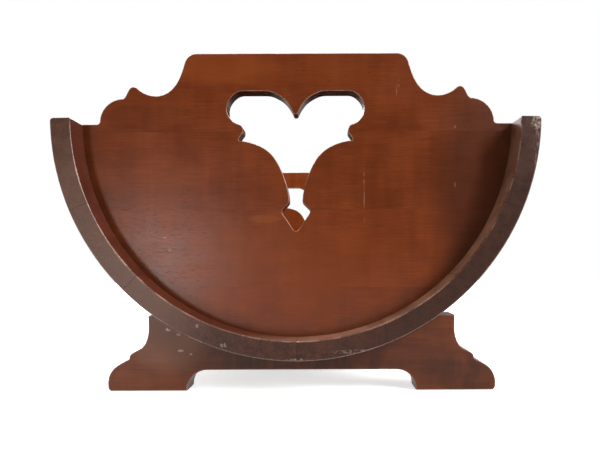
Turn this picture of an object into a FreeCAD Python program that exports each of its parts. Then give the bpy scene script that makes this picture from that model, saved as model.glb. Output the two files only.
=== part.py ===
import FreeCAD, Part
import math
import os
from FreeCAD import Placement, Rotation, Vector
from Sketcher import Constraint

# Magazine rack: a coopered half-round trough with a scrolled end panel let into a groove near each end,
# standing on two scrolled bracket feet.
# Frame: origin on the floor under the middle of the rack, X across, Y along the trough, Z up.
# The front end is at -Y. The trough's axis runs along Y, its radius and the floor gap above the floor.

doc = FreeCAD.newDocument("magazine_rack")

# ---------------------------------------------------------------- driving sizes (millimetres)

SIZES = (
    ("trough_length", 580, "staves, end to end"),
    ("trough_radius", 206, "outside of the staves"),
    ("stave_thickness", 17, "radial thickness of a stave"),
    ("stave_count", 8, "staves in the half round"),
    ("top_trim", 1, "trough's axis down to the planed top edges of the staves"),
    ("floor_gap", 29, "floor to the lowest point of the trough"),
    ("panel_thickness", 12.7, "end panel"),
    ("panel_setback", 19, "end of the staves to the outer face of an end panel"),
    ("groove_depth", 5, "groove in the staves for an end panel"),
    ("groove_clearance", 0.2, "bottom of the groove to the panel's edge"),
    ("crest_height", 62.2, "top of an end panel above the staves' top edges"),
    ("shelf_width", 12, "level edge of a panel between the trough wall and its scroll"),
    ("first_glue_line", 7, "staves' top edges down to the top board's lower edge"),
    ("board_width", 68.7, "boards under the top board"),
    ("handhold_half_width", 61, "centre to the end of a lobe"),
    ("handhold_top", 28.9, "top of the lobes above the staves' top edges"),
    ("handhold_side_offset", -1.2, "middle of the hand-hold from the middle of the trough"),
    ("handhold_height", 123.7, "top of the lobes to the point at the bottom"),
    ("bracket_thickness", 20, "bracket foot, along Y"),
    ("bracket_setback", 15, "end of the staves to the outer face of a bracket"),
    ("bracket_height", 65.5, "floor to the top of the horns"),
    ("foot_half_width", 169, "bracket's centre to its toe"),
    ("horn_half_width", 134, "bracket's centre to the outer side of a horn"),
    ("bracket_side_offset", 3.5, "brackets are fixed this far to the right of the trough's middle"),
    ("arch_half_width", 100, "bracket's centre to the inner edge of a foot"),
    ("arch_height", 18, "floor to the underside of the web"),
    ("arch_corner", 17, "length of the arch's rounded corner along X"),
    ("screw_length", 38, "wood screw, head to point"),
    ("screw_diameter", 4.2, "shank"),
    ("screw_head_diameter", 8.4, "countersunk head"),
    ("screw_clearance", 0.3, "added to the shank's diameter in the bracket and the staves"),
    ("inner_screw_spacing", 40, "between the two screws nearest the middle"),
    ("outer_screw_spacing", 120, "between the two outer screws"),
    ("inner_head_recess", 1, "underside of the web to an inner screw's head"),
    ("outer_head_recess", 10, "underside of the web to an outer screw's head"),
)

sheet = doc.addObject("Spreadsheet::Sheet", "sizes")
sheet.Label = "sizes"
for row, (alias, value, note) in enumerate(SIZES, start=1):
    sheet.set(f"A{row}", alias.replace("_", " "))
    sheet.set(f"B{row}", str(value))
    sheet.setAlias(f"B{row}", alias)
    sheet.set(f"C{row}", note)
doc.recompute()


def size(alias):
    """A driving size, read from the sheet."""
    return float(sheet.get(alias))


# Places that follow from the driving sizes, as expressions on the sheet.
AXIS_HEIGHT = "(sizes.floor_gap + sizes.trough_radius)"
RIM_HEIGHT = f"({AXIS_HEIGHT} - sizes.top_trim)"
PANEL_Y = "(sizes.trough_length / 2 - sizes.panel_setback - sizes.panel_thickness / 2)"
BRACKET_Y = "(sizes.trough_length / 2 - sizes.bracket_setback - sizes.bracket_thickness / 2)"
GROOVE_RADIUS = "(sizes.trough_radius - sizes.stave_thickness + sizes.groove_depth)"
HEAD_CONE = "((sizes.screw_head_diameter - sizes.screw_diameter) / 2)"
ENDS = (("front", -1), ("rear", 1))

axis_height = size("floor_gap") + size("trough_radius")
inner_radius = size("trough_radius") - size("stave_thickness")
panel_radius = inner_radius + size("groove_depth") - size("groove_clearance")
crest_half_width = inner_radius - size("shelf_width")


# ---------------------------------------------------------------- helpers

def origin_plane(body, role):
    """A body's own origin plane, found by its role."""
    return next(item for item in body.Origin.OriginFeatures if item.Role == role)


def new_sketch(body, name, role):
    """A sketch on one of the body's own origin planes."""
    sketch = body.newObject("Sketcher::SketchObject", name)
    sketch.AttachmentSupport = [(origin_plane(body, role), "")]
    sketch.MapMode = "FlatFace"
    return sketch


def bind(item, **expressions):
    """Bind properties to the sheet; a double underscore in a name stands for a dot."""
    for name, expression in expressions.items():
        item.setExpression(name.replace("__", "."), expression)


def flat(point):
    return Vector(point[0], point[1], 0)


def curve_through(kind, points):
    """A straight line, an arc through three points, or a smooth curve through several."""
    places = [flat(point) for point in points]
    if kind == "line":
        return Part.LineSegment(*places)
    if kind == "arc":
        return Part.Arc(*places)
    directions = [Vector(1, 0, 0)] * len(places)
    level = [False] * len(places)
    if kind == "curve from level":
        directions[0] = Vector(places[1].x - places[0].x, 0, 0).normalize()
        level[0] = True
    if kind == "curve to level":
        directions[-1] = Vector(places[-1].x - places[-2].x, 0, 0).normalize()
        level[-1] = True
    curve = Part.BSplineCurve()
    if any(level):
        curve.interpolate(Points=places, Tangents=directions, TangentFlags=level)
    else:
        curve.interpolate(places)
    return curve


def draw_scroll(sketch, pieces, place):
    """Draw a half outline and its mirror image; place turns a pattern point into (x, z)."""
    for side in (1, -1):
        for kind, points in pieces:
            spots = [place(*point) for point in points]
            sketch.addGeometry(curve_through(kind, [(side * x, z) for x, z in spots]), False)


def pad_both_ways(body, sketch, name, length):
    """Pad a sketch equally to both sides of its plane; length is an expression on the sheet."""
    pad = body.newObject("PartDesign::Pad", name)
    pad.Profile = sketch
    pad.Midplane = True
    bind(pad, Length=length)
    return pad


def pocket_both_ways(body, sketch, name, length):
    """Cut a sketch out equally to both sides of its plane."""
    pocket = body.newObject("PartDesign::Pocket", name)
    pocket.Profile = sketch
    pocket.Midplane = True
    bind(pocket, Length=length)
    return pocket


def compound(name, members):
    group = doc.addObject("Part::Compound", name)
    group.Links = members
    return group


def cut(name, base, tool):
    result = doc.addObject("Part::Cut", name)
    result.Base = base
    result.Tool = tool
    return result


def cylinder(name, radius, height, x, y, z):
    """A vertical cylinder whose sizes and place are expressions on the sheet."""
    tool = doc.addObject("Part::Cylinder", name)
    bind(tool, Radius=radius, Height=height)
    bind(tool, Placement__Base__x=x, Placement__Base__y=y, Placement__Base__z=z)
    return tool


nodes = []


def keep(item, label):
    """Mark an object as a finished sub-part and give it its name."""
    item.Label = label
    nodes.append(item)


# ---------------------------------------------------------------- screws and the holes drilled for them

def screw_body():
    """A slotted countersunk wood screw, head down at the origin and point up."""
    body = doc.addObject("PartDesign::Body", "wood_screw")
    sketch = new_sketch(body, "screw_profile", "XZ_Plane")
    shank = size("screw_diameter") / 2
    head = size("screw_head_diameter") / 2
    length = size("screw_length")
    point_length = 3 * shank
    outline = ((0, 0), (head, 0), (shank, head - shank), (shank, length - point_length), (0, length))
    for start, end in zip(outline, outline[1:] + outline[:1]):
        sketch.addGeometry(Part.LineSegment(flat(start), flat(end)), False)
    turned = body.newObject("PartDesign::Revolution", "screw_turned")
    turned.Profile = sketch
    turned.ReferenceAxis = (sketch, ["V_Axis"])
    turned.Angle = 360
    slot_sketch = new_sketch(body, "slot_profile", "XZ_Plane")
    slot_half_width = shank / 3
    slot_depth = 0.45 * (head - shank)
    corners = ((-slot_half_width, -1), (slot_half_width, -1),
               (slot_half_width, slot_depth), (-slot_half_width, slot_depth))
    for start, end in zip(corners, corners[1:] + corners[:1]):
        slot_sketch.addGeometry(Part.LineSegment(flat(start), flat(end)), False)
    pocket_both_ways(body, slot_sketch, "slot", "2 * sizes.screw_head_diameter")
    doc.recompute()
    return body


SCREW_PLACES = (
    ("left_outer", "(sizes.bracket_side_offset - sizes.outer_screw_spacing / 2)", "outer"),
    ("left_inner", "(sizes.bracket_side_offset - sizes.inner_screw_spacing / 2)", "inner"),
    ("right_inner", "(sizes.bracket_side_offset + sizes.inner_screw_spacing / 2)", "inner"),
    ("right_outer", "(sizes.bracket_side_offset + sizes.outer_screw_spacing / 2)", "outer"),
)


def screws_and_drills(end, side, screw):
    """One end's four screws, with the drilled hole and the pilot hole for each."""
    links = []
    drills = []
    pilots = []
    y = f"{side} * {BRACKET_Y}"
    for place, x, row in SCREW_PLACES:
        name = f"{end}_{place}"
        head_z = f"(sizes.arch_height + sizes.{row}_head_recess)"
        link = doc.addObject("App::Link", f"{name}_screw")
        link.LinkedObject = screw
        bind(link, Placement__Base__x=x, Placement__Base__y=y, Placement__Base__z=head_z)
        links.append(link)
        drills.append(cylinder(f"{name}_counterbore", "sizes.screw_head_diameter / 2", head_z, x, y, "0"))
        sink = doc.addObject("Part::Cone", f"{name}_countersink")
        bind(sink, Radius1="sizes.screw_head_diameter / 2", Radius2="sizes.screw_diameter / 2")
        bind(sink, Height=HEAD_CONE)
        bind(sink, Placement__Base__x=x, Placement__Base__y=y, Placement__Base__z=head_z)
        drills.append(sink)
        drills.append(cylinder(f"{name}_shank_hole", "(sizes.screw_diameter + sizes.screw_clearance) / 2",
                               "sizes.screw_length", x, y, head_z))
        pilots.append(cylinder(f"{name}_pilot_hole", "sizes.screw_diameter / 2",
                               "sizes.screw_length", x, y, head_z))
    keep(compound(f"{end}_screw_group", links), f"{end}_bracket_screws")
    return compound(f"{end}_drills", drills), compound(f"{end}_pilots", pilots)


screw = screw_body()
drills = {}
pilots = {}
for end, side in ENDS:
    drills[end], pilots[end] = screws_and_drills(end, side, screw)
all_drills = compound("all_drills", [drills["front"], drills["rear"]])


# ---------------------------------------------------------------- trough staves

def stave_body(number):
    """One stave: its long section, with a groove for each end panel, turned through the stave's angle."""
    body = doc.addObject("PartDesign::Body", f"stave_{number}_body")
    sketch = new_sketch(body, f"stave_{number}_section", "YZ_Plane")
    end_y = size("trough_length") / 2
    near = end_y - size("panel_setback") - size("panel_thickness")
    far = end_y - size("panel_setback")
    outer = -size("trough_radius")
    inner = -inner_radius
    groove = inner - size("groove_depth")
    outline = ((-end_y, outer), (end_y, outer), (end_y, inner), (far, inner), (far, groove),
               (near, groove), (near, inner), (-near, inner), (-near, groove), (-far, groove),
               (-far, inner), (-end_y, inner))
    for start, end in zip(outline, outline[1:] + outline[:1]):
        sketch.addGeometry(Part.LineSegment(flat(start), flat(end)), False)
    # Lines are numbered in the order drawn: 0 is the outer face, 1 and 11 the ends, and 2 to 10 the inner
    # face with its two grooves.
    count = len(outline)
    for line in range(count):
        sketch.addConstraint(Constraint("Coincident", line, 2, (line + 1) % count, 1))
        if line > 0:
            sketch.addConstraint(Constraint("Horizontal" if line % 2 == 0 else "Vertical", line))
    sketch.addConstraint(Constraint("Symmetric", 0, 1, 0, 2, -2))
    for first, second in ((10, 2), (8, 4), (5, 3), (7, 5), (9, 7)):
        sketch.addConstraint(Constraint("Equal", first, second))
    driven = (
        ("length", Constraint("DistanceX", 0, 1, 0, 2, 2 * end_y), "sizes.trough_length"),
        ("radius", Constraint("DistanceY", 0, 1, -1, 1, -outer), "sizes.trough_radius"),
        ("thickness", Constraint("DistanceY", 1, 1, 1, 2, inner - outer), "sizes.stave_thickness"),
        ("setback", Constraint("DistanceX", 2, 2, 2, 1, end_y - far), "sizes.panel_setback"),
        ("groove_width", Constraint("DistanceX", 4, 2, 4, 1, far - near), "sizes.panel_thickness"),
        ("groove_depth", Constraint("DistanceY", 3, 2, 3, 1, inner - groove), "sizes.groove_depth"),
    )
    for name, constraint, expression in driven:
        place = sketch.addConstraint(constraint)
        sketch.renameConstraint(place, name)
        sketch.setExpression(f"Constraints.{name}", expression)
    turned = body.newObject("PartDesign::Revolution", f"stave_{number}_turned")
    turned.Profile = sketch
    turned.ReferenceAxis = (sketch, ["H_Axis"])
    turned.Midplane = True
    bind(turned, Angle="180 / sizes.stave_count")
    bind(body, Placement__Base__z=AXIS_HEIGHT)
    bind(body, Placement__Rotation__Angle=f"90 - ({number} - 0.5) * 180 / sizes.stave_count")
    return body


trim = doc.addObject("Part::Box", "planed_off")
bind(trim, Length="4 * sizes.trough_radius", Width="2 * sizes.trough_length", Height="sizes.trough_radius")
bind(trim, Placement__Base__x="-2 * sizes.trough_radius", Placement__Base__y="-sizes.trough_length")
bind(trim, Placement__Base__z=RIM_HEIGHT)

stave_count = int(size("stave_count"))
stave_angle = 180 / stave_count
screw_reach = size("bracket_side_offset") + size("outer_screw_spacing") / 2
for number in range(1, stave_count + 1):
    piece = stave_body(number)
    from_bottom = 90 - (number - 0.5) * stave_angle
    piece.Placement = Placement(Vector(0, 0, axis_height), Rotation(Vector(0, 1, 0), from_bottom))
    doc.recompute()
    if number in (1, stave_count):
        piece = cut(f"stave_{number}_planed", piece, trim)
    if abs(from_bottom) - stave_angle / 2 < math.degrees(math.asin(screw_reach / inner_radius)):
        piece = cut(f"stave_{number}_drilled", piece, all_drills)
    keep(piece, f"stave_{number}")


# ---------------------------------------------------------------- end panels

# Half outline of the crest, from the middle of the top to the shelf beside the trough wall, in
# hundredths of the crest's half width and height: a cyma, a bowl, a pointed nub and a quarter-round ear.
CREST = (
    ("line", ((0, 100), (50, 100))),
    ("arc", ((50, 100), (53.5, 96.7), (55.7, 88.3))),
    ("curve", ((55.7, 88.3), (57.4, 73), (60, 57.5), (64, 45.5), (70.5, 40), (76, 43.8), (79.4, 50.3))),
    ("arc", ((79.4, 50.3), (81.8, 53), (83.8, 48.8))),
    ("line", ((83.8, 48.8), (85.6, 39))),
    ("line", ((85.6, 39), (86.6, 36.2))),
    ("arc", ((86.6, 36.2), (94.9, 26.4), (98.3, 4.9))),
    ("arc", ((98.3, 4.9), (98.7, 1.6), (100, 0))),
)

# Half outline of the hand-hold, from the tongue at the top to the point at the bottom, in hundredths of
# its half width and of its height below the top of the lobes.
HANDHOLD = (
    ("arc", ((0, 16.5), (2.3, 16.3), (3.6, 15.4))),
    ("curve to level", ((3.6, 15.4), (8.6, 10.8), (17.5, 5.5), (30, 1.7), (47, 0))),
    ("line", ((47, 0), (76, 0))),
    ("curve from level", ((76, 0), (90, 2.7), (98.4, 8.8), (99, 15), (93.5, 20.3), (82, 23.7))),
    ("arc", ((82, 23.7), (76, 27.3), (79, 31.2))),
    ("line", ((79, 31.2), (82, 33.6))),
    ("arc", ((82, 33.6), (82.3, 35.1), (79, 35.4))),
    ("curve", ((79, 35.4), (65, 36.8), (52, 39.2), (40.5, 42.8), (31.5, 47.4), (24.5, 53),
               (18.2, 60), (13.2, 67.5), (10.3, 74), (9.5, 79.6))),
    ("line", ((9.5, 79.6), (18.5, 84))),
    ("arc", ((18.5, 84), (20.2, 85.8), (19, 87.9))),
    ("line", ((19, 87.9), (5, 98.2))),
    ("arc", ((5, 98.2), (3, 99.5), (0, 100))),
)


def panel_blank(end, side):
    """An end panel glued up, scroll-sawn and pierced, before it is told apart into its boards."""
    body = doc.addObject("PartDesign::Body", f"{end}_panel_blank")
    outline = new_sketch(body, f"{end}_panel_outline", "XZ_Plane")
    draw_scroll(outline, CREST, lambda x, z: (x * crest_half_width / 100, z * size("crest_height") / 100))
    edge = math.sqrt(panel_radius ** 2 - size("top_trim") ** 2)
    draw_scroll(outline, (("line", ((crest_half_width, 0), (edge, 0))),), lambda x, z: (x, z))
    arc = ((-edge, 0), (0, size("top_trim") - panel_radius), (edge, 0))
    outline.addGeometry(curve_through("arc", arc), False)
    pad_both_ways(body, outline, f"{end}_panel_board_thickness", "sizes.panel_thickness")
    handhold = new_sketch(body, f"{end}_handhold_outline", "XZ_Plane")
    draw_scroll(handhold, HANDHOLD,
                lambda x, z: (x * size("handhold_half_width") / 100,
                              size("handhold_top") - z * size("handhold_height") / 100))
    bind(handhold, AttachmentOffset__Base__x="sizes.handhold_side_offset")
    pocket_both_ways(body, handhold, f"{end}_handhold", "2 * sizes.panel_thickness")
    bind(body, Placement__Base__y=f"{side} * {PANEL_Y}", Placement__Base__z=RIM_HEIGHT)
    return body


GLUE_LINE_1 = f"({RIM_HEIGHT} - sizes.first_glue_line)"
GLUE_LINE_2 = f"({GLUE_LINE_1} - sizes.board_width)"
GLUE_LINE_3 = f"({GLUE_LINE_2} - sizes.board_width)"
BOARDS = (
    # name, left edge and right edge as shares of the trough's radius, bottom, top
    ("top_board", -1, 1, GLUE_LINE_1, f"({RIM_HEIGHT} + 2 * sizes.crest_height)"),
    ("upper_board_left", -1, 0, GLUE_LINE_2, GLUE_LINE_1),
    ("upper_board_right", 0, 1, GLUE_LINE_2, GLUE_LINE_1),
    ("lower_board", -1, 1, GLUE_LINE_3, GLUE_LINE_2),
    ("bottom_board", -1, 1, "sizes.floor_gap", GLUE_LINE_3),
)


def panel_board(end, side, blank, name, left, right, bottom, top):
    """The part of an end panel between two glue lines."""
    span = doc.addObject("Part::Box", f"{end}_{name}_span")
    bind(span, Length=f"{right - left} * sizes.trough_radius", Width="2 * sizes.panel_thickness")
    bind(span, Height=f"{top} - {bottom}")
    bind(span, Placement__Base__x=f"{left} * sizes.trough_radius")
    bind(span, Placement__Base__y=f"{side} * {PANEL_Y} - sizes.panel_thickness")
    bind(span, Placement__Base__z=bottom)
    board = doc.addObject("Part::Common", f"{end}_{name}_board")
    board.Base = blank
    board.Tool = span
    return board


for end, side in ENDS:
    blank = panel_blank(end, side)
    doc.recompute()
    drilled_blank = cut(f"{end}_panel_drilled", blank, pilots[end])
    for board in BOARDS:
        keep(panel_board(end, side, drilled_blank, *board), f"{end}_panel_{board[0]}")


# ---------------------------------------------------------------- bracket feet

# Half outline of a bracket's outer side, from the toe on the floor to the top of the horn, in
# hundredths of the toe's reach past the horn and of the bracket's height.
BRACKET_SIDE = (
    ("arc", ((93, 0), (98, 2), (100, 6))),
    ("curve", ((100, 6), (98.5, 18), (88, 28.5), (71, 35.5), (47.5, 42))),
    ("line", ((47.5, 42), (46.5, 46.5))),
    ("curve", ((46.5, 46.5), (40, 50), (20, 55.5), (9, 61.5), (2, 70.5), (-1, 82), (0, 100))),
)


def bracket_body(end, side):
    """A bracket foot sawn from one board, its seat cut to the outside of the trough."""
    body = doc.addObject("PartDesign::Body", f"{end}_bracket_body")
    sketch = new_sketch(body, f"{end}_bracket_outline", "XZ_Plane")
    height = size("bracket_height")
    horn = size("horn_half_width")
    reach = size("foot_half_width") - horn
    draw_scroll(sketch, BRACKET_SIDE, lambda x, z: (horn + x * reach / 100, z * height / 100))

    toe = horn + BRACKET_SIDE[0][1][0][0] * reach / 100
    arch = size("arch_half_width")
    web = size("arch_height")
    corner = size("arch_corner")
    lean = math.sqrt(0.5)
    arch_side = (
        ("line", ((toe, 0), (arch, 0))),
        ("arc", ((arch, 0), (arch - corner * (1 - lean), web * lean), (arch - corner, web))),
        ("line", ((arch - corner, web), (0, web))),
    )
    draw_scroll(sketch, arch_side, lambda x, z: (x, z))
    sketch.addGeometry(curve_through("line", [(-horn, height), (horn, height)]), False)
    pad_both_ways(body, sketch, f"{end}_bracket_thickness", "sizes.bracket_thickness")

    seat = new_sketch(body, f"{end}_bracket_seat_outline", "XZ_Plane")
    trough_middle = Vector(-size("bracket_side_offset"), axis_height, 0)
    seat.addGeometry(Part.Circle(trough_middle, Vector(0, 0, 1), size("trough_radius")), False)
    pocket_both_ways(body, seat, f"{end}_bracket_seat", "2 * sizes.bracket_thickness")
    bind(body, Placement__Base__x="sizes.bracket_side_offset")
    bind(body, Placement__Base__y=f"{side} * {BRACKET_Y}")
    return body


for end, side in ENDS:
    body = bracket_body(end, side)
    doc.recompute()
    keep(cut(f"{end}_bracket_drilled", body, drills[end]), f"{end}_bracket")


# ---------------------------------------------------------------- checks and files

doc.recompute()
for item in doc.Objects:
    if "Invalid" in item.State or "Error" in item.State:
        raise RuntimeError(f"{item.Name} failed: {item.State}")
for item in nodes:
    if item.Shape.isNull() or not item.Shape.isValid() or not item.Shape.Solids:
        raise RuntimeError(f"{item.Label} has no valid shape")

os.makedirs("parts", exist_ok=True)
for item in nodes:
    item.Shape.exportStep(f"parts/{item.Label}.step")
    box = item.Shape.BoundBox
    print(f"{item.Label}: {len(item.Shape.Solids)} solid(s), {item.Shape.Volume / 1000:.1f} cm3, "
          f"x {box.XMin:.1f}..{box.XMax:.1f}, y {box.YMin:.1f}..{box.YMax:.1f}, "
          f"z {box.ZMin:.1f}..{box.ZMax:.1f}")
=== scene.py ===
import math

import bmesh
import bpy
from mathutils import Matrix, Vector


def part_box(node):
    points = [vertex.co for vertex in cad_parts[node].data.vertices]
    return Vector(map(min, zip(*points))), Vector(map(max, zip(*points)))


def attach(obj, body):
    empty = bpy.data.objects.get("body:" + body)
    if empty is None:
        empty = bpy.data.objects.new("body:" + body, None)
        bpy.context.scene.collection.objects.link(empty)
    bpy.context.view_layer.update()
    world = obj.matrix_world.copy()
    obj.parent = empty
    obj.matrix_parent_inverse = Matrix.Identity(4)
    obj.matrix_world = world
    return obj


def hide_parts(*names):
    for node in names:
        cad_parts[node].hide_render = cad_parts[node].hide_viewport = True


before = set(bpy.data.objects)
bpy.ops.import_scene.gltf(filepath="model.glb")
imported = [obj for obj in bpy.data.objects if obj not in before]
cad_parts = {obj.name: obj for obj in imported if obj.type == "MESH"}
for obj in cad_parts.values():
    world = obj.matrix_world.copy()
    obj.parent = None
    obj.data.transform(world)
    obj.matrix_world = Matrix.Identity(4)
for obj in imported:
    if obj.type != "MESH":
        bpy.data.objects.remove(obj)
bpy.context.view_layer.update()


# ---------------------------------------------------------------- where the rack is seen from
# The rack stands end on to the eye, which is level with the lower half of the panel, a little to the right of
# the middle and a forearm's length in front of the near rim.

EYE = Vector((0.0205, -0.634, 0.1186))
LENS = 24.69
HEAD_TILT = math.radians(0.22)
FRAME_SHIFT_ACROSS = -0.0345
FRAME_SHIFT_UP = 0.0407

bpy.ops.object.camera_add(location=EYE, rotation=(math.pi / 2, HEAD_TILT, 0))
camera = bpy.context.object
camera.name = "eye"
camera.data.lens = LENS
camera.data.sensor_width = 36
camera.data.shift_x = FRAME_SHIFT_ACROSS
camera.data.shift_y = FRAME_SHIFT_UP
camera.data.clip_start = 0.01
camera.data.clip_end = 50
bpy.context.scene.camera = camera


# ---------------------------------------------------------------- staves
# Eight straight staves of stained hardwood, bevelled and glued edge to edge into a half-round trough. Their
# ends are open end grain that took the stain dark and dull, and handling has rubbed the arrises pale.

STAVES = ("stave_1", "stave_2", "stave_3", "stave_4", "stave_5", "stave_6", "stave_7", "stave_8")
TOP_STAVES = ("stave_1", "stave_8")
stave_low, stave_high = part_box("stave_4")
OUTER_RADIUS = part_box("stave_8")[1].x
AXIS_HEIGHT = stave_low.z + OUTER_RADIUS
STAVE_END = stave_high.y
STAVE_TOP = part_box("stave_8")[1].z
INNER_RADIUS = min(
    math.hypot(point.co.x, point.co.z - AXIS_HEIGHT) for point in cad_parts["stave_2"].data.vertices
)

HAIR = 0.00005
TOP_ROUNDING = 0.003
RIM_ARRIS = 0.0010
JOINT_ARRIS = 0.00014
CORNER_ANGLE = math.radians(25)
SMOOTH_ANGLE = math.radians(40)
FLAT_ANGLE = math.radians(0.1)
SAME_POINT = 1e-6
SAME_SKIN = 0.0002
CORNER_MARGIN = 0.001
PLANK_STEP = (0.37, 0.61, 0.83)

STAVE_TONES = (1.00, 0.97, 1.02, 0.98, 1.01, 0.96, 1.01, 0.98)
STAVE_RED = (0.066, 0.017, 0.009, 1)
STAVE_DARK = (0.044, 0.011, 0.006, 1)
END_BROWN = (0.066, 0.023, 0.012, 1)
END_DARK = (0.026, 0.0088, 0.0052, 1)
RUBBED_PALE = (0.36, 0.20, 0.13, 1)
OLD_GLUE = (0.018, 0.008, 0.006, 1)
PORE_FILLER = (0.22, 0.13, 0.09, 1)
BRUISED_PALE = (0.42, 0.32, 0.26, 1)
END_SHEEN = 0.14
ARRIS_SHEEN = 0.5
# The end grain is made darker towards the front right.
DARKER_END = (0.150, -STAVE_END, 0.090)
DARKER_REACH = (0.110, 0.050, 0.170)
# Painted sheen: a paler, greyer patch low on the front left of the rim, where a low light glances off.
PAINTED_SHEEN_END = (-0.155, -STAVE_END, 0.120)
PAINTED_SHEEN_REACH = (0.100, 0.050, 0.150)
PAINTED_SHEEN_BROWN = (0.20, 0.105, 0.075, 1)
# The lip's lighter patch is partly rubbed wear and partly painted light from above.
LIP_RUB_AND_LIGHT = (0.225, 0.105, 0.066, 1)
LIP_MIDDLE = (0.105, STAVE_END, 0.090)
LIP_REACH = (0.160, 0.045, 0.230)


def shader_node(tree, kind, inputs, **settings):
    """Adds a node; inputs gives each socket, by name or number, a value or another node's output."""
    made = tree.nodes.new(f"ShaderNode{kind}")
    for setting, value in settings.items():
        setattr(made, setting, value)
    for socket, value in inputs.items():
        if isinstance(value, bpy.types.NodeSocket):
            tree.links.new(value, made.inputs[socket])
        else:
            made.inputs[socket].default_value = value
    return made


def arithmetic(tree, operation, first, second=0.0):
    """One sum of two numbers."""
    return shader_node(tree, "Math", {0: first, 1: second}, operation=operation).outputs[0]


def spread(tree, value, start, end, low=0.0, high=1.0):
    """Stretches the part of value from start to end over low to high."""
    inputs = {"Value": value, "From Min": start, "From Max": end, "To Min": low, "To Max": high}
    return shader_node(tree, "MapRange", inputs).outputs[0]


def blended(tree, amount, below, above):
    """One colour laid over another by amount."""
    inputs = {0: amount, 6: below, 7: above}
    return shader_node(tree, "Mix", inputs, data_type="RGBA").outputs[2]


def cloudy(tree, place, per_metre, detail=2.0, wander=0.0):
    """Noise with its own number of features per metre along X, Y and Z."""
    scaled = shader_node(tree, "Mapping", {"Vector": place, "Scale": per_metre}).outputs[0]
    inputs = {"Vector": scaled, "Scale": 1.0, "Detail": detail, "Distortion": wander}
    return shader_node(tree, "TexNoise", inputs).outputs["Fac"]


def spot(tree, place, centre, reach):
    """One inside a soft-edged egg shape about centre, zero outside."""
    away = shader_node(tree, "VectorMath", {0: place, 1: centre}, operation="SUBTRACT").outputs[0]
    shares = shader_node(tree, "VectorMath", {0: away, 1: reach}, operation="DIVIDE").outputs[0]
    distance = shader_node(tree, "VectorMath", {0: shares}, operation="LENGTH").outputs["Value"]
    return spread(tree, distance, 0.55, 1.0, 1.0, 0.0)


def new_finish(name, specular):
    """A material, its tree and shader, the place and the plank's own grain to read, and the plank's tone."""
    finish = bpy.data.materials.new(name)
    finish.use_nodes = True
    tree = finish.node_tree
    shader = tree.nodes["Principled BSDF"]
    shader.inputs["Specular IOR Level"].default_value = specular
    place = shader_node(tree, "TexCoord", {}).outputs["Object"]
    plank = shader_node(tree, "Attribute", {}, attribute_name="plank").outputs["Vector"]
    grown = shader_node(tree, "VectorMath", {0: place, 1: plank}, operation="ADD").outputs[0]
    tone = shader_node(tree, "Attribute", {}, attribute_name="tone").outputs["Fac"]
    return finish, tree, shader, place, grown, tone


def toned(tree, colour, tone):
    """The colour made lighter or darker by the piece's own tone."""
    return shader_node(tree, "VectorMath", {0: colour, "Scale": tone}, operation="SCALE").outputs[0]


def bumped(tree, shader, height, strength, depth):
    """Raises the surface by height times depth."""
    inputs = {"Strength": strength, "Distance": depth, "Height": height}
    tree.links.new(shader_node(tree, "Bump", inputs).outputs[0], shader.inputs["Normal"])


def long_grain(name, along, dark, light, specular=0.17, marks=None):
    """Planed and stained wood, its fibres running along axis number along."""

    def lengthways(few, many):
        return tuple(few if axis == along else many for axis in range(3))

    finish, tree, shader, place, grown, tone = new_finish(name, specular)
    streaks = cloudy(tree, grown, lengthways(7, 95), detail=4, wander=0.6)
    blotches = cloudy(tree, grown, (26, 26, 30), detail=3)
    patches = cloudy(tree, grown, lengthways(60, 75), detail=2)
    fibres = cloudy(tree, grown, lengthways(45, 1100), detail=3)
    pores = spread(tree, cloudy(tree, grown, lengthways(190, 3200), detail=1), 0.66, 0.74)
    ribbons = cloudy(tree, grown, lengthways(120, 14), detail=1)
    stain = arithmetic(tree, "MULTIPLY", blotches, 0.5)
    stain = arithmetic(tree, "ADD", stain, arithmetic(tree, "MULTIPLY", streaks, 0.3))
    stain = arithmetic(tree, "ADD", stain, arithmetic(tree, "MULTIPLY", patches, 0.2))
    colour = blended(tree, spread(tree, stain, 0.36, 0.64), dark, light)
    colour = toned(tree, colour, spread(tree, fibres, 0.3, 0.7, 0.86, 1.13))
    colour = toned(tree, colour, spread(tree, ribbons, 0.3, 0.7, 0.93, 1.07))
    colour = toned(tree, colour, spread(tree, pores, 0.0, 1.0, 1.0, 0.55))
    colour = toned(tree, colour, tone)
    if marks:
        colour = marks(tree, place, colour)
    tree.links.new(colour, shader.inputs["Base Color"])
    dull = spread(tree, blotches, 0.3, 0.7, 0.27, 0.34)
    dull = arithmetic(tree, "ADD", dull, spread(tree, fibres, 0.3, 0.7, 0, 0.05))
    tree.links.new(dull, shader.inputs["Roughness"])
    relief = arithmetic(tree, "SUBTRACT", fibres, pores)
    bumped(tree, shader, relief, 0.25, 0.00015)
    return finish


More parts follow.
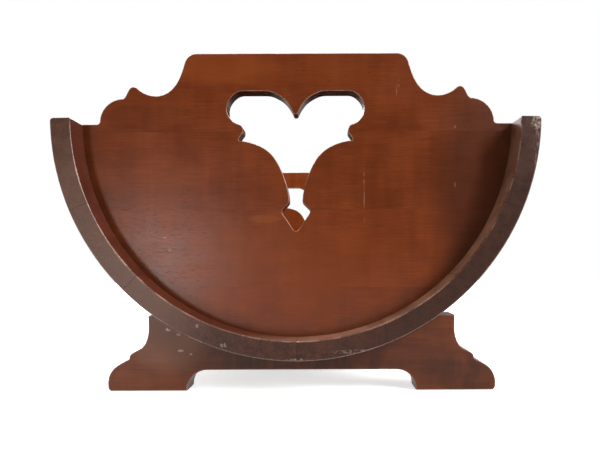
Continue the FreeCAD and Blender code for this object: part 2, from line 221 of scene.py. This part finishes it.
def open_end_grain(name, dark, light, marks=None):
    """Wood cut across its fibres: dull and speckled, darker at the front right, with a painted sheen at the
    front left.
    """
    finish, tree, shader, place, grown, _ = new_finish(name, END_SHEEN)
    rings = shader_node(
        tree,
        "TexWave",
        {"Vector": grown, "Scale": 40.0, "Distortion": 6.0, "Detail": 3.0, "Detail Scale": 1.5},
        wave_type="RINGS",
        rings_direction="Y",
    ).outputs["Fac"]
    speckle = cloudy(tree, grown, (900, 900, 900), detail=2)
    smears = cloudy(tree, grown, (130, 130, 130), detail=8)
    mottle = cloudy(tree, grown, (520, 520, 520), detail=4)
    pores = spread(tree, cloudy(tree, grown, (2200, 400, 2200), detail=0), 0.62, 0.72)
    specks = spread(tree, cloudy(tree, grown, (1300, 300, 1300), detail=1), 0.69, 0.76, 0.0, 0.5)
    stain = arithmetic(tree, "MULTIPLY", smears, 0.5)
    stain = arithmetic(tree, "ADD", stain, arithmetic(tree, "MULTIPLY", rings, 0.04))
    stain = arithmetic(tree, "ADD", stain, arithmetic(tree, "MULTIPLY", mottle, 0.35))
    colour = blended(tree, spread(tree, stain, 0.33, 0.55), dark, light)
    colour = toned(tree, colour, spread(tree, speckle, 0.3, 0.7, 0.75, 1.25))
    colour = toned(tree, colour, spread(tree, pores, 0.0, 1.0, 1.0, 0.6))
    colour = blended(tree, specks, colour, PORE_FILLER)
    # Darker towards the front right of the end grain.
    darker_right = arithmetic(tree, "MULTIPLY", spot(tree, place, DARKER_END, DARKER_REACH), 0.60)
    colour = blended(tree, darker_right, colour, dark)
    # Painted sheen on the front left of the end grain.
    rim_painted_sheen = arithmetic(tree, "MULTIPLY", spot(tree, place, PAINTED_SHEEN_END, PAINTED_SHEEN_REACH), 0.36)
    colour = blended(tree, rim_painted_sheen, colour, PAINTED_SHEEN_BROWN)
    if marks:
        colour = marks(tree, place, colour)
    tree.links.new(colour, shader.inputs["Base Color"])
    tree.links.new(spread(tree, smears, 0.3, 0.7, 0.32, 0.42), shader.inputs["Roughness"])
    bumped(tree, shader, arithmetic(tree, "SUBTRACT", speckle, pores), 0.35, 0.0002)
    return finish


def rubbed_arris(name, stained, pale, start, end):
    """An edge where the stain has worn through in places: none of it below start, all of it past end."""
    finish, tree, shader, _, grown, tone = new_finish(name, ARRIS_SHEEN)
    wear = cloudy(tree, grown, (45, 45, 45), detail=5)
    nicks = cloudy(tree, grown, (500, 500, 500), detail=2)
    amount = spread(tree, arithmetic(tree, "ADD", wear, arithmetic(tree, "MULTIPLY", nicks, 0.3)), start, end)
    colour = toned(tree, blended(tree, amount, stained, pale), tone)
    tree.links.new(colour, shader.inputs["Base Color"])
    tree.links.new(spread(tree, nicks, 0.3, 0.7, 0.24, 0.42), shader.inputs["Roughness"])
    bumped(tree, shader, nicks, 0.3, 0.0002)
    return finish


def glue_line():
    """The hairline of dark old glue and wax dust where two boards meet."""
    finish, tree, shader, _, grown, _ = new_finish("glue_line", 0.2)
    dust = cloudy(tree, grown, (300, 300, 300), detail=3)
    tree.links.new(blended(tree, dust, OLD_GLUE, STAVE_DARK), shader.inputs["Base Color"])
    tree.links.new(spread(tree, dust, 0.3, 0.7, 0.6, 0.8), shader.inputs["Roughness"])
    bumped(tree, shader, dust, 0.2, 0.0001)
    return finish


def rim_marks(tree, place, colour):
    """White knocks on the near rim: the bruised top corner at the right and a few chips low on the left."""
    crumbs = spread(tree, cloudy(tree, place, (420, 420, 420), detail=3), 0.42, 0.58)
    rub = spread(tree, cloudy(tree, place, (700, 90, 120), detail=2), 0.50, 0.62)
    knocks = (
        ((0.202, -STAVE_END, 0.229), (0.0060, 0.006, 0.0075), 0.60, crumbs),
        ((0.203, -STAVE_END, 0.205), (0.0045, 0.004, 0.0250), 0.30, rub),
        ((-0.061, -STAVE_END, 0.043), (0.0038, 0.003, 0.0024), 0.40, crumbs),
        ((-0.083, -STAVE_END, 0.059), (0.0015, 0.003, 0.0020), 0.45, crumbs),
        ((0.055, -STAVE_END, 0.037), (0.0300, 0.003, 0.0024), 0.25, crumbs),
        ((0.001, -STAVE_END, 0.030), (0.0120, 0.003, 0.0018), 0.50, crumbs),
    )
    for centre, reach, strength, broken in knocks:
        amount = arithmetic(tree, "MULTIPLY", spot(tree, place, centre, reach), broken)
        colour = blended(tree, arithmetic(tree, "MULTIPLY", amount, strength), colour, BRUISED_PALE)
    return colour


def lip_wear_and_light(tree, place, colour):
    """The lip outside each panel is lighter along the bottom and up the right-hand side: partly rubbed wear,
    partly painted light from above.
    """
    rub_and_light_breakup = spread(tree, cloudy(tree, place, (60, 60, 60), detail=4), 0.30, 0.60, 0.45, 1.0)
    for end in (-1, 1):
        middle = (LIP_MIDDLE[0], end * LIP_MIDDLE[1], LIP_MIDDLE[2])
        amount = arithmetic(tree, "MULTIPLY", spot(tree, place, middle, LIP_REACH), rub_and_light_breakup)
        colour = blended(tree, amount, colour, LIP_RUB_AND_LIGHT)
    return colour


def bench_copy(node, finishes, plank_number, tone):
    """A copy of a CAD node with its triangles merged into flat faces, open on the bench in edit mode."""
    piece = bpy.data.objects.new(f"{node}_finished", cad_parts[node].data.copy())
    bpy.context.scene.collection.objects.link(piece)
    bpy.ops.object.select_all(action="DESELECT")
    bpy.context.view_layer.objects.active = piece
    piece.select_set(True)
    bpy.ops.mesh.customdata_custom_splitnormals_clear()
    piece.data.materials.clear()
    for finish in finishes:
        piece.data.materials.append(finish)
    shift = tuple(step * plank_number for step in PLANK_STEP)
    for attribute, kind, field, value in (
        ("plank", "FLOAT_VECTOR", "vector", shift),
        ("tone", "FLOAT", "value", tone),
    ):
        layer = piece.data.attributes.new(attribute, kind, "POINT")
        for point in layer.data:
            setattr(point, field, value)
    bpy.ops.object.mode_set(mode="EDIT")
    bpy.ops.mesh.select_all(action="SELECT")
    bpy.ops.mesh.remove_doubles(threshold=SAME_POINT)
    bpy.ops.mesh.dissolve_limited(angle_limit=FLAT_ANGLE)
    return piece


def give_faces(piece, finish_number, wanted):
    """Puts one of the piece's finishes on the faces that wanted picks."""
    bpy.ops.mesh.select_mode(type="FACE")
    bpy.ops.mesh.select_all(action="DESELECT")
    drawing = bmesh.from_edit_mesh(piece.data)
    for face in drawing.faces:
        face.select_set(wanted(face))
    bmesh.update_edit_mesh(piece.data)
    piece.active_material_index = finish_number
    bpy.ops.object.material_slot_assign()


def ease_edges(piece, width, finish_number, wanted, segments=3):
    """Takes the sharpness off the corners that wanted picks."""
    bpy.ops.mesh.select_mode(type="EDGE")
    bpy.ops.mesh.select_all(action="DESELECT")
    drawing = bmesh.from_edit_mesh(piece.data)
    for edge in drawing.edges:
        if len(edge.link_faces) == 2 and edge.calc_face_angle() > CORNER_ANGLE and wanted(edge):
            edge.select_set(True)
    bmesh.update_edit_mesh(piece.data)
    bpy.ops.mesh.bevel(offset=width, segments=segments, material=finish_number, clamp_overlap=False)


def off_the_bench(piece, node):
    """Closes edit mode, smooths the curved faces and puts the piece in the CAD node's place."""
    bpy.ops.object.mode_set(mode="OBJECT")
    bpy.ops.object.shade_smooth_by_angle(angle=SMOOTH_ANGLE)
    bpy.ops.object.modifier_add(type="WEIGHTED_NORMAL")
    piece.modifiers[-1].keep_sharp = True
    bpy.ops.object.modifier_apply(modifier=piece.modifiers[-1].name)
    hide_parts(node)
    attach(piece, "root")


def from_axis(point):
    """How far a point is from the trough's axis."""
    return math.hypot(point.x, point.z - AXIS_HEIGHT)


def is_stave_end(face):
    return abs(face.calc_center_median().y) > STAVE_END - HAIR


def is_joint(face):
    """A stave's glued face points round the trough; the planed top does too, but lies level."""
    middle = face.calc_center_median()
    outwards = Vector((middle.x, 0, middle.z - AXIS_HEIGHT)).normalized()
    level_top = middle.z > STAVE_TOP - HAIR
    return abs(face.normal.y) < 0.1 and abs(face.normal.dot(outwards)) < 0.15 and not level_top


def is_on_top(edge):
    return all(point.co.z > STAVE_TOP - HAIR for point in edge.verts)


def is_top_outer_corner(edge):
    return is_on_top(edge) and all(abs(point.co.x) > OUTER_RADIUS - CORNER_MARGIN for point in edge.verts)


def is_top_inner_corner(edge):
    return is_on_top(edge) and all(abs(point.co.x) < INNER_RADIUS + CORNER_MARGIN for point in edge.verts)


def is_rim_corner(edge):
    """An edge between an end and the stave's planed skin, leaving out the glued faces and their hairlines."""
    one, other = edge.link_faces
    end_meets_side = is_stave_end(one) != is_stave_end(other)
    grain_meets_grain = {one.material_index, other.material_index} == {0, 1}
    return end_meets_side and grain_meets_grain and not (is_joint(one) or is_joint(other))


def is_joint_corner(edge):
    """An edge of a glued face that shows: on the outside, the inside or an end, and not in a groove."""
    middle = (edge.verts[0].co + edge.verts[1].co) / 2
    radius = from_axis(middle)
    on_skin = radius > OUTER_RADIUS - SAME_SKIN or radius < INNER_RADIUS + SAME_SKIN
    on_end = abs(middle.y) > STAVE_END - HAIR
    return [is_joint(face) for face in edge.link_faces].count(True) == 1 and (on_skin or on_end)


stave_finishes = (
    long_grain("stave_long_grain", 1, STAVE_DARK, STAVE_RED, marks=lip_wear_and_light),
    open_end_grain("stave_end_grain", END_DARK, END_BROWN, rim_marks),
    rubbed_arris("rim_arris", END_BROWN, RUBBED_PALE, 0.60, 0.95),
    glue_line(),
)

for number, node in enumerate(STAVES):
    stave = bench_copy(node, stave_finishes, number, STAVE_TONES[number])
    give_faces(stave, 1, is_stave_end)
    if node in TOP_STAVES:
        ease_edges(stave, TOP_ROUNDING, -1, is_top_outer_corner, segments=5)
        ease_edges(stave, RIM_ARRIS, 2, is_top_inner_corner)
    ease_edges(stave, JOINT_ARRIS, 3, is_joint_corner, segments=1)
    ease_edges(stave, RIM_ARRIS, 2, is_rim_corner)
    off_the_bench(stave, node)


# ---------------------------------------------------------------- end panels
# Each end is one panel glued up from boards laid level, fretsawn to its scrolled crest and hand-hold and
# sanded round the edges. It is let into a groove in the staves. The boards took the stain unevenly.

BOARDS = ("top_board", "upper_board_left", "upper_board_right", "lower_board", "bottom_board")
BOARD_TONES = {
    "top_board": 0.94,
    "upper_board_left": 0.97,
    "upper_board_right": 0.94,
    "lower_board": 1.03,
    "bottom_board": 0.94,
}
# Painted light: the rear panel's boards are made 1.6 times lighter so that they read as more brightly lit.
END_TONES_WITH_PAINTED_LIGHT = {"front": 1.0, "rear": 1.6}
PANEL_ORANGE = (0.160, 0.032, 0.0060, 1)
PANEL_RED = (0.110, 0.021, 0.0045, 1)
SAWN_BROWN = (0.085, 0.036, 0.022, 1)
SAWN_DARK = (0.035, 0.014, 0.009, 1)
PANEL_ARRIS = 0.0007
GLUE_ARRIS = 0.00003
AMBER_STAIN = (0.22, 0.058, 0.010, 1)
THIN_STAIN = (0.26, 0.058, 0.012, 1)
# Painted shade: a dark brown laid on the panel as the right-hand staves' shadow, and as shade with some grime
# in the corner beside each groove.
SHADE_AND_GRIME = (0.030, 0.012, 0.007, 1)
SHADE_AND_GRIME_WIDTH = 0.016
LOWEST_GLUE_LINE = 0.03
FIRST_BOARD = 11


def panel_marks(tree, place, colour):
    """The near panel's uneven stain, painted shadow down its right side and scratches, and painted shade with
    grime beside each groove.
    """
    near_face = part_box("front_panel_top_board")[0].y
    broken = spread(tree, cloudy(tree, place, (300, 300, 220), detail=2), 0.40, 0.60)
    shade_grime_breakup = spread(tree, cloudy(tree, place, (90, 90, 90), detail=4), 0.25, 0.60, 0.6, 1.0)
    patches = (
        ((-0.029, near_face, 0.150), (0.017, 0.004, 0.0045), AMBER_STAIN, 0.40),
        ((-0.057, near_face, 0.160), (0.007, 0.004, 0.0200), PANEL_RED, 0.45),
        ((0.000, near_face, 0.110), (0.120, 0.004, 0.0450), PANEL_ORANGE, 0.35),
        ((-0.070, near_face, 0.285), (0.060, 0.004, 0.0200), THIN_STAIN, 0.35),
        # painted shadow of the right-hand staves down the panel's right side
        ((0.172, near_face, 0.180), (0.060, 0.004, 0.1300), SHADE_AND_GRIME, 0.50),
    )
    scratches = (
        ((0.059, near_face, 0.172), (0.0005, 0.003, 0.031), 0.45),
        ((0.088, near_face, 0.264), (0.0006, 0.003, 0.006), 0.40),
        ((0.090, near_face, 0.270), (0.0006, 0.003, 0.005), 0.45),
        ((0.139, near_face, 0.231), (0.0016, 0.003, 0.002), 0.50),
        ((0.139, near_face, 0.180), (0.0013, 0.003, 0.003), 0.35),
        ((-0.116, near_face, 0.134), (0.0060, 0.003, 0.001), 0.40),
        ((-0.113, near_face, 0.123), (0.0016, 0.003, 0.0013), 0.55),
    )
    for centre, reach, tint, strength in patches:
        amount = arithmetic(tree, "MULTIPLY", spot(tree, place, centre, reach), strength)
        colour = blended(tree, amount, colour, tint)
    for centre, reach, strength in scratches:
        amount = arithmetic(tree, "MULTIPLY", spot(tree, place, centre, reach), broken)
        colour = blended(tree, arithmetic(tree, "MULTIPLY", amount, strength), colour, RUBBED_PALE)
    # Painted shade with some grime: the panel darkened in the corner beside each groove.
    both_ends = shader_node(tree, "VectorMath", {0: place}, operation="ABSOLUTE").outputs[0]
    middle = (0, -near_face, AXIS_HEIGHT)
    measured = shader_node(tree, "VectorMath", {0: both_ends, 1: middle}, operation="DISTANCE")
    from_middle = measured.outputs["Value"]
    groove_shade_and_grime = spread(tree, from_middle, INNER_RADIUS - SHADE_AND_GRIME_WIDTH, INNER_RADIUS, 0.0, 0.6)
    return blended(tree, arithmetic(tree, "MULTIPLY", groove_shade_and_grime, shade_grime_breakup), colour, SHADE_AND_GRIME)


def is_sawn(face):
    return abs(face.normal.y) < 0.5


panel_finishes = (
    long_grain("panel_face", 0, PANEL_RED, PANEL_ORANGE, marks=panel_marks),
    open_end_grain("sawn_edge", SAWN_DARK, SAWN_BROWN),
    rubbed_arris("panel_arris", PANEL_ORANGE, RUBBED_PALE, 0.62, 0.95),
    stave_finishes[3],
)

for end_number, end in enumerate(("front", "rear")):
    for number, board in enumerate(BOARDS):
        node = f"{end}_panel_{board}"
        low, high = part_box(node)
        lowest = AXIS_HEIGHT - OUTER_RADIUS + LOWEST_GLUE_LINE
        glued_heights = [height for height in (low.z, high.z) if lowest < height < STAVE_TOP]

        def is_glued(edge):
            corners = [point.co.z for point in edge.verts]
            return any(all(abs(corner - height) < HAIR for corner in corners) for height in glued_heights)

        plank_number = FIRST_BOARD + len(BOARDS) * end_number + number
        piece = bench_copy(node, panel_finishes, plank_number, BOARD_TONES[board] * END_TONES_WITH_PAINTED_LIGHT[end])
        give_faces(piece, 1, is_sawn)
        ease_edges(piece, PANEL_ARRIS, 2, lambda edge: not is_glued(edge))
        ease_edges(piece, GLUE_ARRIS, 3, is_glued, segments=1)
        off_the_bench(piece, node)


# ---------------------------------------------------------------- bracket feet
# A scrolled foot bandsawn from one wide board stands under each end, hollowed to fit the trough. Floors and
# shoes have dulled and stained it, and it has lost a few chips. Its middle under the trough carries painted
# shade and its top left a painted sheen.

BRACKET_LIGHT = (0.150, 0.040, 0.014, 1)
BRACKET_DARK = (0.070, 0.018, 0.008, 1)
STAIN_AND_PAINTED_SHADE = (0.022, 0.008, 0.005, 1)
# Painted sheen: a paler, greyer brown for the foot's top left, where a low light glances off.
BRACKET_PAINTED_SHEEN = (0.26, 0.125, 0.080, 1)
CHIPPED_PALE = (0.60, 0.52, 0.45, 1)
BRACKET_SHEEN = 0.14
FIRST_BRACKET = 31
BRACKET_ARRIS = 0.0008
BRACKETS = {"front_bracket": 1.0, "rear_bracket": 0.95}


def bracket_marks(tree, place, colour):
    """The near foot's painted shadow under the trough, its stained right toe, its painted sheen at the top
    left and its chips.
    """
    near_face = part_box("front_bracket")[0].y
    broken = spread(tree, cloudy(tree, place, (500, 500, 500), detail=2), 0.38, 0.52)
    chips = (
        ((-0.1128, near_face, 0.0535), (0.0028, 0.003, 0.0016), 0.85),
        ((-0.1040, near_face, 0.0493), (0.0022, 0.003, 0.0014), 0.70),
        ((-0.1020, near_face, 0.0350), (0.0032, 0.003, 0.0014), 0.55),
        ((-0.0930, near_face, 0.0320), (0.0016, 0.003, 0.0010), 0.45),
    )
    blotched = spread(tree, cloudy(tree, place, (95, 95, 24), detail=3), 0.36, 0.58, 0.25, 1.0)
    stains_and_shade = (
        # painted shadow of the trough across the middle of the foot
        ((0.004, near_face, 0.026), (0.100, 0.004, 0.028), 0.75),
        # a dark stain on the right toe
        ((0.150, near_face, 0.012), (0.045, 0.004, 0.026), 0.60),
    )
    for centre, reach, strength in stains_and_shade:
        amount = arithmetic(tree, "MULTIPLY", spot(tree, place, centre, reach), blotched)
        colour = blended(tree, arithmetic(tree, "MULTIPLY", amount, strength), colour, STAIN_AND_PAINTED_SHADE)
    # Painted sheen on the foot's top left.
    bracket_painted_sheen = spot(tree, place, (-0.112, near_face, 0.052), (0.042, 0.004, 0.040))
    bracket_painted_sheen = arithmetic(tree, "MULTIPLY", bracket_painted_sheen, 0.45)
    colour = blended(tree, bracket_painted_sheen, colour, BRACKET_PAINTED_SHEEN)
    for centre, reach, strength in chips:
        amount = arithmetic(tree, "MULTIPLY", spot(tree, place, centre, reach), broken)
        colour = blended(tree, arithmetic(tree, "MULTIPLY", amount, strength), colour, CHIPPED_PALE)
    return colour


bracket_finishes = (
    long_grain("bracket_face", 0, BRACKET_DARK, BRACKET_LIGHT, BRACKET_SHEEN, bracket_marks),
    open_end_grain("bracket_sawn_edge", SAWN_DARK, SAWN_BROWN),
    rubbed_arris("bracket_arris", BRACKET_LIGHT, RUBBED_PALE, 0.66, 0.95),
)


def is_face_corner(edge):
    return any(not is_sawn(face) for face in edge.link_faces)


for number, (node, tone) in enumerate(BRACKETS.items()):
    bracket = bench_copy(node, bracket_finishes, FIRST_BRACKET + number, tone)
    give_faces(bracket, 1, is_sawn)
    ease_edges(bracket, BRACKET_ARRIS, 2, is_face_corner)
    off_the_bench(bracket, node)


# ---------------------------------------------------------------- screws
# Plain countersunk wood screws of bright-drawn steel, driven up through each foot and the staves into the end
# panel above. They have dulled and spotted with rust.

STEEL_GREY = (0.36, 0.33, 0.29, 1)
RUST = (0.12, 0.055, 0.025, 1)


def dull_steel():
    """Turned steel, gone dull, with rust in spots."""
    finish = bpy.data.materials.new("dull_steel")
    finish.use_nodes = True
    tree = finish.node_tree
    shader = tree.nodes["Principled BSDF"]
    place = shader_node(tree, "TexCoord", {}).outputs["Object"]
    turning = cloudy(tree, place, (300, 300, 6000), detail=2)
    spots = spread(tree, cloudy(tree, place, (700, 700, 700), detail=3), 0.52, 0.66)
    tree.links.new(blended(tree, spots, STEEL_GREY, RUST), shader.inputs["Base Color"])
    tree.links.new(spread(tree, spots, 0, 1, 0.85, 0.1), shader.inputs["Metallic"])
    rough = spread(tree, spots, 0, 1, 0.32, 0.65)
    rough = arithmetic(tree, "ADD", rough, spread(tree, turning, 0.3, 0.7, 0, 0.12))
    tree.links.new(rough, shader.inputs["Roughness"])
    bumped(tree, shader, arithmetic(tree, "ADD", turning, spots), 0.2, 0.00008)
    return finish


screw_finish = dull_steel()
for node in ("front_bracket_screws", "rear_bracket_screws"):
    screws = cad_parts[node]
    for finish_place in screws.material_slots:
        finish_place.material = screw_finish


# ---------------------------------------------------------------- floor and light
# A pale painted floor in a white room. One broad soft light stands high at the right and another behind, a
# narrow strip glints on the arrises from each side, a small low one at the front left skims the panel, and a
# wide sky hangs overhead. The floor doesn't throw light back on the wood, and no lamp is seen itself.

FLOOR_WHITE = (0.88, 0.88, 0.87, 1)
SCUFFED_WHITE = (0.8, 0.8, 0.8, 1)
FLOOR_DROP = 0.0004
ROOM_LIGHT = 0.055
FLOOR_GLOW = 0.75
FLOOR_RADIUS = 1.4
SKY_POWER = 2.8
SKY_SPREAD = math.radians(50)

bpy.ops.mesh.primitive_circle_add(
    vertices=128, radius=FLOOR_RADIUS, fill_type="NGON", location=(0, 0, -FLOOR_DROP)
)
floor = bpy.context.object
floor.name = "floor"
floor_finish, floor_tree, floor_shader, floor_place, _, _ = new_finish("pale_floor", 0.1)
paint = spread(floor_tree, cloudy(floor_tree, floor_place, (2, 2, 2), detail=2), 0.3, 0.7, 0, 0.03)
floor_colour = blended(floor_tree, paint, FLOOR_WHITE, SCUFFED_WHITE)
floor_tree.links.new(floor_colour, floor_shader.inputs["Base Color"])
floor_shader.inputs["Roughness"].default_value = 0.8
floor_shader.inputs["Emission Color"].default_value = FLOOR_WHITE
floor_shader.inputs["Emission Strength"].default_value = FLOOR_GLOW
floor.data.materials.append(floor_finish)
floor.visible_diffuse = False

AIM = Vector((0, -0.27, 0.13))
for name, turn, rise, distance, across, upright, power in (
    ("key_softbox", 68, 36, 3.0, 1.5, 1.3, 155),
    ("right_strip", 58, 8, 1.3, 0.12, 0.8, 4.8),
    ("left_strip", -66, 8, 1.3, 0.15, 0.8, 3.2),
    ("low_left_panel", -26, -2, 1.45, 0.24, 0.26, 8.0),
    ("rear_softbox", 200, 35, 3.0, 1.6, 1.6, 95),
    ("backdrop", 180, 6, 1.9, 3.2, 0.8, 8.0),
):
    turn, rise = math.radians(turn), math.radians(rise)
    away = Vector((math.sin(turn) * math.cos(rise), -math.cos(turn) * math.cos(rise), math.sin(rise)))
    bpy.ops.object.light_add(type="AREA", location=AIM + away * distance)
    lamp = bpy.context.object
    lamp.name = name
    lamp.rotation_euler = (-away).to_track_quat("-Z", "Y").to_euler()
    lamp.data.shape = "RECTANGLE"
    lamp.data.size = across
    lamp.data.size_y = upright
    lamp.data.energy = power
    lamp.visible_camera = False

bpy.ops.object.light_add(type="SUN", location=(0, 0, 3), rotation=(0, 0, 0))
overhead = bpy.context.object
overhead.name = "overhead"
overhead.data.energy = SKY_POWER
overhead.data.angle = SKY_SPREAD

room = bpy.data.worlds.new("white_room")
bpy.context.scene.world = room
room.use_nodes = True
walls = room.node_tree.nodes["Background"]
seen = room.node_tree.nodes.new("ShaderNodeLightPath")
level = room.node_tree.nodes.new("ShaderNodeMapRange")
level.inputs["To Min"].default_value = ROOM_LIGHT
level.inputs["To Max"].default_value = 1.0
room.node_tree.links.new(seen.outputs["Is Camera Ray"], level.inputs["Value"])
room.node_tree.links.new(level.outputs[0], walls.inputs["Strength"])
walls.inputs["Color"].default_value = (1, 1, 1, 1)
bpy.context.scene.view_settings.view_transform = "Standard"
